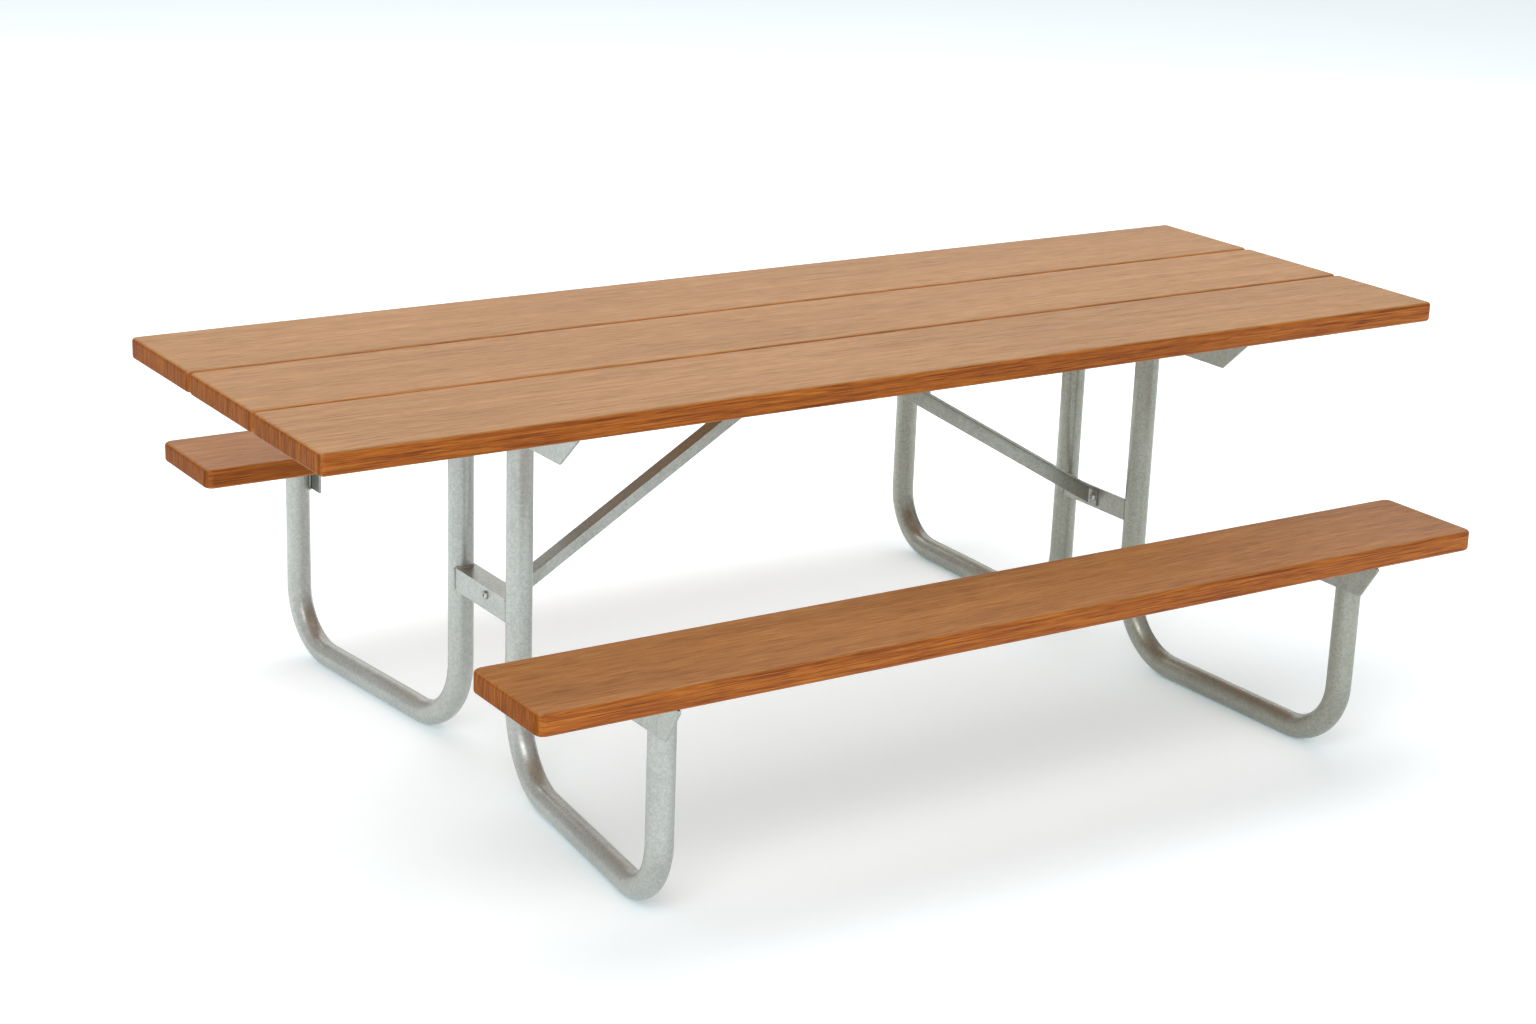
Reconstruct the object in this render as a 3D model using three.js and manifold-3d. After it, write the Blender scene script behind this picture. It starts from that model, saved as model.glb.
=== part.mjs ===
// Walk-through picnic table: three top planks and two bench planks on two welded end frames.
// Each end frame has two bent pipes, a crosspiece between their tall legs, one angle under the top and
// one short angle under each bench. A sloping brace ties each frame to a cleat under the middle of the top.
// Millimetres, +Z up, +X along the planks. The origin is on the ground under the middle of the top.
import * as THREE from 'three';
import * as BufferGeometryUtils from 'three/addons/utils/BufferGeometryUtils.js';
import Module from 'manifold-3d';

const wasm = await Module();
wasm.setup();

// Seating gap left between pieces that touch.
const GAP = 0.3;

// Planks.
const TOP_HEIGHT = 782;
const TOP_LENGTH = 2438;
const TOP_PLANK_WIDTH = 272;
const TOP_PLANK_GAP = 5;
const BENCH_HEIGHT = 453;
const BENCH_LENGTH = 2008;
const BENCH_WIDTH = 230;
const BENCH_CENTRE_Y = 704;
const FRONT_BENCH_OFFSET_X = -42;
const REAR_BENCH_OFFSET_X = -8;
const PLANK_THICKNESS = 40;
const PLANK_EDGE_RADIUS = 6;
const TOP_CORNER_RADIUS = 10;
const BENCH_CORNER_RADIUS = 18;

// Bent pipes.
const PIPE_RADIUS = 24.15;
const PIPE_BORE_RADIUS = 20.45;
const INNER_BEND_RADIUS = 145;
const OUTER_BEND_RADIUS = 120;
const PIPE_BEND_STEPS = 6;
const LEFT_INNER_LEG_X = -705;
const RIGHT_INNER_LEG_X = 733;
const INNER_LEG_Y = 115;
const LEFT_BENCH_LEG_X = -766;
const RIGHT_BENCH_LEG_X = 747;
const BENCH_LEG_Y = 721;

// Angles under the planks.
const ANGLE_THICKNESS = 5;
const ANGLE_LEDGE = 56;
const TOP_ANGLE_DEPTH = 70;
const TOP_ANGLE_HALF_LENGTH = 372;
const TOP_ANGLE_HALF_FOOT = 310;
const TOP_TAPER_START = 8;
const BENCH_ANGLE_DEPTH = 66;
const BENCH_ANGLE_INWARD = 50;
const BENCH_ANGLE_OUTWARD = 97;
const BENCH_ANGLE_OUTWARD_FOOT = 58;
const BENCH_LEDGE_SETBACK = 24;
const BENCH_TAPER_START = 0;

// Crosspieces.
const LEFT_CROSSPIECE_TOP = 361;
const RIGHT_CROSSPIECE_TOP = 346;
const CROSSPIECE_LEG = 44;
const CROSSPIECE_OFFSET = 20;

// Braces and their cleat.
const LEFT_BRACE_Y = -24;
const LEFT_BRACE_WIDTH = 32;
const LEFT_BRACE_DEPTH = 22;
const RIGHT_BRACE_Y = -4;
const RIGHT_BRACE_WIDTH = 22;
const RIGHT_BRACE_DEPTH = 32;
const BRACE_THICKNESS = 4;
const BRACE_TOP_BEND = 40;
const BRACE_TOP_END = 8;
const BRACE_TOP_FLANGE_END = 62;
const BRACE_FLANGE_SETBACK = 6;
const LEFT_BRACE_FOOT = 331;
const LEFT_BRACE_TAB_TOP = 355;
const LEFT_BRACE_FLANGE_SETBACK = 28;
const RIGHT_BRACE_FOOT = 343;
const RIGHT_BRACE_TAB_BOTTOM = 308;
const CLEAT_WIDTH = 90;
const CLEAT_LENGTH = 640;
const CLEAT_THICKNESS = 5;

// Screws that go up into the planks.
const SCREW_RADIUS = 4;
const SCREW_BITE = 28;
const SCREW_WASHER_RADIUS = 9;
const SCREW_WASHER_THICKNESS = 1.6;
const SCREW_HEAD_FLATS = 14;
const SCREW_HEAD_HEIGHT = 6;
const TOP_SCREW_Y = [-320, -200, -60, 60, 200, 320];
const BENCH_SCREW_OFFSET = [-39, 58];
const CLEAT_SCREW_Y = [-250, -85, 85, 250];
const BRACE_SCREW_X = 24;

// Bolts that hold the braces to the crosspieces.
const LEFT_BOLT_Z = 346;
const RIGHT_BOLT_Z = 326;
const BOLT_RADIUS = 4.5;
const BOLT_HEAD_RADIUS = 8.5;
const BOLT_HEAD_HEIGHT = 5;
const BOLT_CROWN_RADIUS = 4.7;
const BOLT_SHOULDER_RADIUS = 7.5;
const BOLT_SHOULDER_HEIGHT = 3;
const BOLT_SOCKET_FLATS = 6;
const BOLT_SOCKET_DEPTH = 3;
const BOLT_TAIL = 2;
const NUT_FLATS = 14;
const NUT_HEIGHT = 8;

const HOLE_CLEARANCE = 0.6;
const CUT_MARGIN = 2;
const HEX_SIDES = 6;
const ROUND_SIDES = 12;
const PIPE_SIDES = 20;
const BORE_SIDES = 12;

const topUnderside = TOP_HEIGHT - PLANK_THICKNESS;
const benchUnderside = BENCH_HEIGHT - PLANK_THICKNESS;

const woodTop = new THREE.MeshStandardMaterial({ color: 0xc48a5a, roughness: 0.62, metalness: 0 });
const woodBench = new THREE.MeshStandardMaterial({ color: 0xa9693c, roughness: 0.6, metalness: 0 });
const galvanisedPipe = new THREE.MeshStandardMaterial({ color: 0xb4b9b8, roughness: 0.42, metalness: 0.85 });
const galvanisedAngle = new THREE.MeshStandardMaterial({ color: 0xa9acaa, roughness: 0.5, metalness: 0.8 });
const zincFastener = new THREE.MeshStandardMaterial({ color: 0xc0c2c0, roughness: 0.35, metalness: 0.9 });

const table = new THREE.Group();

function addPiece(name, geometry, material, x = 0, y = 0, z = 0) {
  const mesh = new THREE.Mesh(geometry, material);
  mesh.name = name;
  mesh.position.set(x, y, z);
  table.add(mesh);
}

function toSolid(geometry) {
  const bare = geometry.clone();
  bare.deleteAttribute('normal');
  bare.deleteAttribute('uv');
  const merged = BufferGeometryUtils.mergeVertices(bare);
  return new wasm.Manifold(new wasm.Mesh({
    numProp: 3,
    vertProperties: new Float32Array(merged.attributes.position.array),
    triVerts: new Uint32Array(merged.index.array),
  }));
}

function fromSolid(solid) {
  const mesh = solid.getMesh();
  const geometry = new THREE.BufferGeometry();
  geometry.setAttribute('position', new THREE.BufferAttribute(mesh.vertProperties, 3));
  geometry.setIndex(new THREE.BufferAttribute(mesh.triVerts, 1));
  return geometry;
}

function join(geometries) {
  return fromSolid(geometries.map(toSolid).reduce((sum, next) => sum.add(next)));
}

function cut(geometry, cutters) {
  return fromSolid(cutters.map(toSolid).reduce((rest, next) => rest.subtract(next), toSolid(geometry)));
}

function polygon(points) {
  return new THREE.Shape(points.map(([a, b]) => new THREE.Vector2(a, b)));
}

// A prism whose outline is given as [x, z] pairs, running from y0 to y1.
function prismAlongY(points, y0, y1) {
  const geometry = new THREE.ExtrudeGeometry(polygon(points), { depth: y1 - y0, bevelEnabled: false });
  geometry.rotateX(Math.PI / 2);
  geometry.translate(0, y1, 0);
  return geometry;
}

// A prism whose outline is given as [y, z] pairs, running from x0 to x1.
function prismAlongX(points, x0, x1) {
  const geometry = new THREE.ExtrudeGeometry(polygon(points), { depth: x1 - x0, bevelEnabled: false });
  const axes = new THREE.Matrix4();
  axes.makeBasis(new THREE.Vector3(0, 1, 0), new THREE.Vector3(0, 0, 1), new THREE.Vector3(1, 0, 0));
  geometry.applyMatrix4(axes);
  geometry.translate(x0, 0, 0);
  return geometry;
}

function rodAlongZ(radius, x, y, z0, z1, sides = ROUND_SIDES) {
  const geometry = new THREE.CylinderGeometry(radius, radius, z1 - z0, sides);
  geometry.rotateX(Math.PI / 2);
  geometry.translate(x, y, (z0 + z1) / 2);
  return geometry;
}

function rodAlongX(radius, x0, x1, y, z, sides = ROUND_SIDES) {
  const geometry = new THREE.CylinderGeometry(radius, radius, x1 - x0, sides);
  geometry.rotateZ(Math.PI / 2);
  geometry.translate((x0 + x1) / 2, y, z);
  return geometry;
}

function hexRadius(flats) {
  return flats / 2 / Math.cos(Math.PI / HEX_SIDES);
}

// Frames. A pipe with its bench angle is one part used four times: turned half round for the rear row, so the
// angle's upright flange is on the -X side in the front row and on the +X side in the rear row.

const frames = [
  {
    tag: 'left',
    side: -1,
    innerX: LEFT_INNER_LEG_X,
    benchX: LEFT_BENCH_LEG_X,
    crosspieceTop: LEFT_CROSSPIECE_TOP,
    boltZ: LEFT_BOLT_Z,
    braceY: LEFT_BRACE_Y,
    braceWidth: LEFT_BRACE_WIDTH,
    braceDepth: LEFT_BRACE_DEPTH,
  },
  {
    tag: 'right',
    side: 1,
    innerX: RIGHT_INNER_LEG_X,
    benchX: RIGHT_BENCH_LEG_X,
    crosspieceTop: RIGHT_CROSSPIECE_TOP,
    boltZ: RIGHT_BOLT_Z,
    braceY: RIGHT_BRACE_Y,
    braceWidth: RIGHT_BRACE_WIDTH,
    braceDepth: RIGHT_BRACE_DEPTH,
  },
];
const rows = [
  { tag: 'front', side: -1, benchOffsetX: FRONT_BENCH_OFFSET_X },
  { tag: 'rear', side: 1, benchOffsetX: REAR_BENCH_OFFSET_X },
];

function span(a, b) {
  return [Math.min(a, b), Math.max(a, b)];
}

// Planks.

function plankGeometry(length, width, cornerRadius) {
  const edge = PLANK_EDGE_RADIUS;
  const x = length / 2 - edge;
  const y = width / 2 - edge;
  const r = cornerRadius - edge;
  const outline = new THREE.Shape();
  outline.absarc(x - r, y - r, r, 0, Math.PI / 2);
  outline.absarc(r - x, y - r, r, Math.PI / 2, Math.PI);
  outline.absarc(r - x, r - y, r, Math.PI, Math.PI * 1.5);
  outline.absarc(x - r, r - y, r, Math.PI * 1.5, Math.PI * 2);
  const geometry = new THREE.ExtrudeGeometry(outline, {
    depth: PLANK_THICKNESS - 2 * edge,
    bevelThickness: edge,
    bevelSize: edge,
    bevelSegments: 3,
    curveSegments: 4,
  });
  geometry.translate(0, 0, edge - PLANK_THICKNESS);
  return geometry;
}

function pilotHole(x, y) {
  return rodAlongZ(SCREW_RADIUS + GAP, x, y, -PLANK_THICKNESS - CUT_MARGIN, SCREW_BITE + GAP - PLANK_THICKNESS);
}

function addPlank(name, material, length, width, cornerRadius, centre, screws) {
  const own = screws.filter((screw) => Math.abs(screw.y - centre.y) < width / 2);
  const holes = own.map((screw) => pilotHole(screw.x - centre.x, screw.y - centre.y));
  const geometry = cut(plankGeometry(length, width, cornerRadius), holes);
  addPiece(name, geometry, material, centre.x, centre.y, centre.z);
}

function topScrewSites() {
  const sites = [];
  for (const frame of frames) {
    TOP_SCREW_Y.forEach((y, i) => {
      const name = `top_screw_${frame.tag}_${i + 1}`;
      sites.push({ name, x: frame.innerX, y, grip: ANGLE_THICKNESS + GAP });
    });
  }
  CLEAT_SCREW_Y.forEach((y, i) => {
    sites.push({ name: `cleat_screw_${i + 1}`, x: 0, y, grip: CLEAT_THICKNESS + GAP });
  });
  for (const frame of frames) {
    const grip = CLEAT_THICKNESS + BRACE_THICKNESS + 2 * GAP;
    sites.push({ name: `brace_screw_${frame.tag}`, x: frame.side * BRACE_SCREW_X, y: frame.braceY, grip });
  }
  return sites;
}

function benchScrewSites() {
  const sites = [];
  for (const frame of frames) {
    for (const row of rows) {
      BENCH_SCREW_OFFSET.forEach((offset, i) => {
        sites.push({
          name: `bench_screw_${frame.tag}_${row.tag}_${i + 1}`,
          x: frame.benchX,
          y: row.side * (BENCH_LEG_Y + offset),
          grip: ANGLE_THICKNESS + GAP,
        });
      });
    }
  }
  return sites;
}

function addTopPlanks() {
  const pitch = TOP_PLANK_WIDTH + TOP_PLANK_GAP;
  const tags = ['front', 'middle', 'rear'];
  tags.forEach((tag, i) => {
    const centre = { x: 0, y: (i - 1) * pitch, z: TOP_HEIGHT };
    addPlank(`top_plank_${tag}`, woodTop, TOP_LENGTH, TOP_PLANK_WIDTH, TOP_CORNER_RADIUS, centre, topScrewSites());
  });
}

function addBenchPlanks() {
  for (const row of rows) {
    const centre = { x: row.benchOffsetX, y: row.side * BENCH_CENTRE_Y, z: BENCH_HEIGHT };
    const name = `bench_plank_${row.tag}`;
    addPlank(name, woodBench, BENCH_LENGTH, BENCH_WIDTH, BENCH_CORNER_RADIUS, centre, benchScrewSites());
  }
}

// Bent pipes.

// A path through fixed stations, each with its own tangent, so that straight runs stay a single step.
class StationPath extends THREE.Curve {
  constructor(stations) {
    super();
    this.stations = stations;
  }

  stationAt(u) {
    return this.stations[Math.round(u * (this.stations.length - 1))];
  }

  getPoint(u, target = new THREE.Vector3()) {
    return target.copy(this.stationAt(u).point);
  }

  getPointAt(u, target) {
    return this.getPoint(u, target);
  }

  getTangent(u, target = new THREE.Vector3()) {
    return target.copy(this.stationAt(u).tangent);
  }

  getTangentAt(u, target) {
    return this.getTangent(u, target);
  }
}

// Stations round a quarter bend, from the spoke first to the spoke second.
function bendStations(centre, first, second, radius) {
  const stations = [];
  for (let i = 0; i <= PIPE_BEND_STEPS; i += 1) {
    const turn = (i / PIPE_BEND_STEPS) * (Math.PI / 2);
    const spoke = first.clone().multiplyScalar(Math.cos(turn)).addScaledVector(second, Math.sin(turn));
    const tangent = second.clone().multiplyScalar(Math.cos(turn)).addScaledVector(first, -Math.sin(turn));
    stations.push({ point: centre.clone().addScaledVector(spoke, radius), tangent });
  }
  return stations;
}

// Down the tall leg, round a bend, out along the ground, round a bend and up the short leg.
function bentPipeStations(tallFoot, shortFoot, tallTop, shortTop) {
  const up = new THREE.Vector3(0, 0, 1);
  const down = up.clone().negate();
  const out = shortFoot.clone().sub(tallFoot).normalize();
  const back = out.clone().negate();
  const inner = INNER_BEND_RADIUS;
  const outer = OUTER_BEND_RADIUS;
  const innerCentre = tallFoot.clone().addScaledVector(out, inner).addScaledVector(up, inner);
  const outerCentre = shortFoot.clone().addScaledVector(back, outer).addScaledVector(up, outer);
  return [
    { point: tallFoot.clone().setZ(tallTop), tangent: down },
    ...bendStations(innerCentre, back, down, inner),
    ...bendStations(outerCentre, down, out, outer),
    { point: shortFoot.clone().setZ(shortTop), tangent: up },
  ];
}

function circlePoints(radius, sides) {
  const points = [];
  for (let i = 0; i < sides; i += 1) {
    const turn = (i / sides) * Math.PI * 2;
    points.push(new THREE.Vector2(radius * Math.cos(turn), radius * Math.sin(turn)));
  }
  return points;
}

function addBentPipe(frame, row) {
  const tallFoot = new THREE.Vector3(frame.innerX, row.side * INNER_LEG_Y, PIPE_RADIUS);
  const shortFoot = new THREE.Vector3(frame.benchX, row.side * BENCH_LEG_Y, PIPE_RADIUS);
  const tallTop = topUnderside - ANGLE_THICKNESS - 2 * GAP;
  const shortTop = benchUnderside - ANGLE_THICKNESS - 2 * GAP;
  const stations = bentPipeStations(tallFoot, shortFoot, tallTop, shortTop);
  const section = new THREE.Shape(circlePoints(PIPE_RADIUS, PIPE_SIDES));
  section.holes.push(new THREE.Path(circlePoints(PIPE_BORE_RADIUS, BORE_SIDES)));
  const geometry = new THREE.ExtrudeGeometry(section, {
    steps: stations.length - 1,
    extrudePath: new StationPath(stations),
  });
  addPiece(`frame_pipe_${frame.tag}_${row.tag}`, geometry, galvanisedPipe);
}

// Angles under the planks. The ledge lies under the wood and the upright flange hangs beside the pipe, on the
// side that hand gives: -1 for -X and 1 for +X.

function angleFaceX(legX, hand) {
  return legX + hand * (PIPE_RADIUS + GAP + ANGLE_THICKNESS);
}

function boxPiece(xs, ys, zs) {
  const [x0, x1] = span(...xs);
  const [y0, y1] = span(...ys);
  const [z0, z1] = span(...zs);
  return prismAlongY([[x0, z0], [x1, z0], [x1, z1], [x0, z1]], y0, y1);
}

function uprightFlange(legX, hand, topZ, depth, ys) {
  const face = angleFaceX(legX, hand);
  return boxPiece([face, face - hand * ANGLE_THICKNESS], ys, [topZ - depth, topZ]);
}

function ledge(legX, hand, topZ, ys) {
  const face = angleFaceX(legX, hand);
  return boxPiece([face, face - hand * ANGLE_LEDGE], ys, [topZ - ANGLE_THICKNESS, topZ]);
}

// The corner cut off the upright flange, from tipY near the ledge down to footY at the lower edge.
function taperCutter(legX, hand, topZ, shape, tipY, footY) {
  const face = angleFaceX(legX, hand);
  const beyond = tipY + Math.sign(tipY) * CUT_MARGIN;
  const start = topZ - ANGLE_THICKNESS - shape.taperStart;
  const bottom = topZ - shape.depth;
  const below = bottom - CUT_MARGIN;
  const lean = (tipY - footY) / (start - bottom);
  const outline = [
    [tipY, start],
    [footY - lean * CUT_MARGIN, below],
    [beyond, below],
    [beyond, start],
  ];
  return prismAlongX(outline, ...span(face + hand * CUT_MARGIN, face - hand * ANGLE_THICKNESS));
}

function screwHole(site, topZ, thickness) {
  return rodAlongZ(SCREW_RADIUS + HOLE_CLEARANCE, site.x, site.y, topZ - thickness - CUT_MARGIN, topZ + CUT_MARGIN);
}

function addTopAngle(frame) {
  const legX = frame.innerX;
  const hand = frame.side;
  const topZ = topUnderside - GAP;
  const reach = [-TOP_ANGLE_HALF_LENGTH, TOP_ANGLE_HALF_LENGTH];
  const shape = { depth: TOP_ANGLE_DEPTH, taperStart: TOP_TAPER_START };
  const flange = uprightFlange(legX, hand, topZ, shape.depth, reach);
  const bar = join([flange, ledge(legX, hand, topZ, reach)]);
  const sites = topScrewSites().filter((site) => site.name.startsWith(`top_screw_${frame.tag}`));
  const cutters = sites.map((site) => screwHole(site, topZ, ANGLE_THICKNESS));
  for (const row of rows) {
    const tip = row.side * TOP_ANGLE_HALF_LENGTH;
    const foot = row.side * TOP_ANGLE_HALF_FOOT;
    cutters.push(taperCutter(legX, hand, topZ, shape, tip, foot));
  }
  addPiece(`top_angle_${frame.tag}`, cut(bar, cutters), galvanisedAngle);
}

function addBenchAngle(frame, row) {
  const legX = frame.benchX;
  const hand = row.side;
  const topZ = benchUnderside - GAP;
  const inner = row.side * (BENCH_LEG_Y - BENCH_ANGLE_INWARD);
  const outer = row.side * (BENCH_LEG_Y + BENCH_ANGLE_OUTWARD);
  const foot = row.side * (BENCH_LEG_Y + BENCH_ANGLE_OUTWARD_FOOT);
  const ledgeEnd = outer - row.side * BENCH_LEDGE_SETBACK;
  const shape = { depth: BENCH_ANGLE_DEPTH, taperStart: BENCH_TAPER_START };
  const flange = uprightFlange(legX, hand, topZ, shape.depth, [inner, outer]);
  const bar = join([flange, ledge(legX, hand, topZ, [inner, ledgeEnd])]);
  const sites = benchScrewSites().filter((site) => site.name.startsWith(`bench_screw_${frame.tag}_${row.tag}`));
  const cutters = sites.map((site) => screwHole(site, topZ, ANGLE_THICKNESS));
  cutters.push(taperCutter(legX, hand, topZ, shape, outer, foot));
  addPiece(`bench_angle_${frame.tag}_${row.tag}`, cut(bar, cutters), galvanisedAngle);
}

// Crosspieces. The left one has its ledge at the top and the right one has it at the bottom.

function crosspieceFaceX(frame) {
  return frame.innerX - CROSSPIECE_OFFSET;
}

function addCrosspiece(frame) {
  const face = crosspieceFaceX(frame);
  const top = frame.crosspieceTop;
  const bottom = top - CROSSPIECE_LEG;
  const reach = [-INNER_LEG_Y, INNER_LEG_Y];
  const ledgeBottom = frame.side < 0 ? top - ANGLE_THICKNESS : bottom;
  const upright = boxPiece([face, face + ANGLE_THICKNESS], reach, [bottom, top]);
  const shelf = boxPiece([face, face + CROSSPIECE_LEG], reach, [ledgeBottom, ledgeBottom + ANGLE_THICKNESS]);
  const bar = join([upright, shelf]);
  const cutters = rows.map((row) => {
    const radius = (PIPE_RADIUS + GAP) / Math.cos(Math.PI / PIPE_SIDES);
    const y = row.side * INNER_LEG_Y;
    return rodAlongZ(radius, frame.innerX, y, bottom - CUT_MARGIN, top + CUT_MARGIN, PIPE_SIDES);
  });
  const hole = BOLT_RADIUS + HOLE_CLEARANCE;
  const through = span(face - CUT_MARGIN, face + ANGLE_THICKNESS + CUT_MARGIN);
  cutters.push(rodAlongX(hole, ...through, frame.braceY, frame.boltZ));
  addPiece(`crosspiece_${frame.tag}`, cut(bar, cutters), galvanisedAngle);
}

// Braces. Each is an unequal angle: the left one has its flange on the front edge of its upper plate and the
// right one on the rear edge. Distances q are measured from the middle of the table towards the brace's own frame.

const cleatTop = topUnderside - GAP;
const braceTop = cleatTop - CLEAT_THICKNESS - GAP;

function braceTabFaces(frame) {
  const plateFace = frame.side < 0 ? crosspieceFaceX(frame) + ANGLE_THICKNESS : crosspieceFaceX(frame);
  const outer = Math.abs(plateFace) - GAP;
  return { outer, inner: outer - BRACE_THICKNESS };
}

function braceOutlines(frame) {
  const tab = braceTabFaces(frame);
  const left = frame.side < 0;
  const footQ = left ? tab.inner : tab.outer;
  const footZ = left ? LEFT_BRACE_FOOT : RIGHT_BRACE_FOOT;
  const slope = (braceTop - footZ) / (footQ - BRACE_TOP_BEND);
  const stretch = Math.hypot(1, slope);
  const upper = (q) => braceTop - slope * (q - BRACE_TOP_BEND);
  const lower = (q) => upper(q) - BRACE_THICKNESS * stretch;
  const flangeEdge = (q) => upper(q) - frame.braceDepth * stretch;
  const lowerBend = BRACE_TOP_BEND + (BRACE_THICKNESS - BRACE_THICKNESS * stretch) / slope;
  const topTab = [
    [BRACE_TOP_BEND, braceTop],
    [BRACE_TOP_END, braceTop],
    [BRACE_TOP_END, braceTop - BRACE_THICKNESS],
    [lowerBend, braceTop - BRACE_THICKNESS],
  ];
  const tabUp = [
    [tab.outer, lower(tab.outer)],
    [tab.outer, LEFT_BRACE_TAB_TOP],
    [tab.inner, LEFT_BRACE_TAB_TOP],
    [tab.inner, upper(tab.inner)],
  ];
  const tabDown = [
    [tab.inner, lower(tab.inner)],
    [tab.inner, RIGHT_BRACE_TAB_BOTTOM],
    [tab.outer, RIGHT_BRACE_TAB_BOTTOM],
    [tab.outer, upper(tab.outer)],
  ];
  const near = tab.inner - (left ? LEFT_BRACE_FLANGE_SETBACK : BRACE_FLANGE_SETBACK);
  const far = BRACE_TOP_FLANGE_END;
  const strip = [...topTab, ...(left ? tabUp : tabDown)];
  const flange = [
    [near, upper(near)],
    [near, flangeEdge(near)],
    [far, flangeEdge(far)],
    [far, upper(far)],
  ];
  return { strip, flange };
}

function addBrace(frame) {
  const { strip, flange } = braceOutlines(frame);
  const place = (outline) => outline.map(([q, z]) => [frame.side * q, z]);
  const front = frame.braceY - frame.braceWidth / 2;
  const back = frame.braceY + frame.braceWidth / 2;
  const flangeSpan = frame.side < 0 ? [front, front + BRACE_THICKNESS] : [back - BRACE_THICKNESS, back];
  const stripPiece = prismAlongY(place(strip), front, back);
  const flangePiece = prismAlongY(place(flange), ...flangeSpan);
  const tab = braceTabFaces(frame);
  const ends = span(frame.side * (tab.inner - CUT_MARGIN), frame.side * (tab.outer + CUT_MARGIN));
  const boltHole = rodAlongX(BOLT_RADIUS + HOLE_CLEARANCE, ...ends, frame.braceY, frame.boltZ);
  const screw = { x: frame.side * BRACE_SCREW_X, y: frame.braceY };
  const body = join([stripPiece, flangePiece]);
  const holes = [boltHole, screwHole(screw, braceTop, BRACE_THICKNESS)];
  addPiece(`brace_${frame.tag}`, cut(body, holes), galvanisedAngle);
}

function addCleat() {
  const half = CLEAT_WIDTH / 2;
  const bottom = cleatTop - CLEAT_THICKNESS;
  const section = [[-half, bottom], [half, bottom], [half, cleatTop], [-half, cleatTop]];
  const bar = prismAlongY(section, -CLEAT_LENGTH / 2, CLEAT_LENGTH / 2);
  const sites = topScrewSites().filter((site) => !site.name.startsWith('top_screw'));
  const holes = sites.map((site) => screwHole(site, cleatTop, CLEAT_THICKNESS));
  addPiece('centre_cleat', cut(bar, holes), galvanisedAngle);
}

// Fasteners.

// A hex-head screw pointing up, with z = 0 where its washer meets the metal.
function screwGeometry(grip) {
  const shank = rodAlongZ(SCREW_RADIUS, 0, 0, -SCREW_WASHER_THICKNESS, grip + GAP + SCREW_BITE - CUT_MARGIN);
  const washer = rodAlongZ(SCREW_WASHER_RADIUS, 0, 0, -SCREW_WASHER_THICKNESS, 0);
  const headTop = -SCREW_WASHER_THICKNESS / 2;
  const head = rodAlongZ(hexRadius(SCREW_HEAD_FLATS), 0, 0, headTop - SCREW_HEAD_HEIGHT, headTop, HEX_SIDES);
  return join([shank, washer, head]);
}

function addScrews(sites, underside) {
  for (const site of sites) {
    addPiece(site.name, screwGeometry(site.grip), zincFastener, site.x, site.y, underside - site.grip - GAP);
  }
}

// A button-head bolt along +X, with x = 0 where its head meets the metal.
function boltGeometry(length) {
  const profile = [
    new THREE.Vector2(0, -BOLT_HEAD_HEIGHT),
    new THREE.Vector2(BOLT_CROWN_RADIUS, -BOLT_HEAD_HEIGHT),
    new THREE.Vector2(BOLT_SHOULDER_RADIUS, -BOLT_SHOULDER_HEIGHT),
    new THREE.Vector2(BOLT_HEAD_RADIUS, 0),
    new THREE.Vector2(BOLT_RADIUS, 0),
    new THREE.Vector2(BOLT_RADIUS, length),
    new THREE.Vector2(0, length),
  ];
  const body = new THREE.LatheGeometry(profile, ROUND_SIDES);
  body.rotateZ(-Math.PI / 2);
  const socketEnd = BOLT_SOCKET_DEPTH - BOLT_HEAD_HEIGHT;
  const socketStart = -BOLT_HEAD_HEIGHT - CUT_MARGIN;
  const socket = rodAlongX(hexRadius(BOLT_SOCKET_FLATS), socketStart, socketEnd, 0, 0, HEX_SIDES);
  return cut(body, [socket]);
}

function nutGeometry() {
  const body = rodAlongX(hexRadius(NUT_FLATS), 0, NUT_HEIGHT, 0, 0, HEX_SIDES);
  return cut(body, [rodAlongX(BOLT_RADIUS + GAP, -CUT_MARGIN, NUT_HEIGHT + CUT_MARGIN, 0, 0)]);
}

function addBraceBolt(frame) {
  const stack = ANGLE_THICKNESS + GAP + BRACE_THICKNESS;
  const firstFace = frame.side < 0 ? crosspieceFaceX(frame) : braceTabFaces(frame).inner;
  const nutFace = firstFace + stack + GAP;
  const length = 2 * GAP + stack + NUT_HEIGHT + BOLT_TAIL;
  const { braceY, boltZ } = frame;
  addPiece(`brace_bolt_${frame.tag}`, boltGeometry(length), zincFastener, firstFace - GAP, braceY, boltZ);
  addPiece(`brace_nut_${frame.tag}`, nutGeometry(), zincFastener, nutFace, braceY, boltZ);
}

addTopPlanks();
addBenchPlanks();
for (const frame of frames) {
  for (const row of rows) {
    addBentPipe(frame, row);
    addBenchAngle(frame, row);
  }
  addTopAngle(frame);
  addCrosspiece(frame);
  addBrace(frame);
  addBraceBolt(frame);
}
addCleat();
addScrews(topScrewSites(), topUnderside);
addScrews(benchScrewSites(), benchUnderside);

export default table;
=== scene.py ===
import math

import bmesh
import bpy
from mathutils import Matrix, Vector, noise


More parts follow.
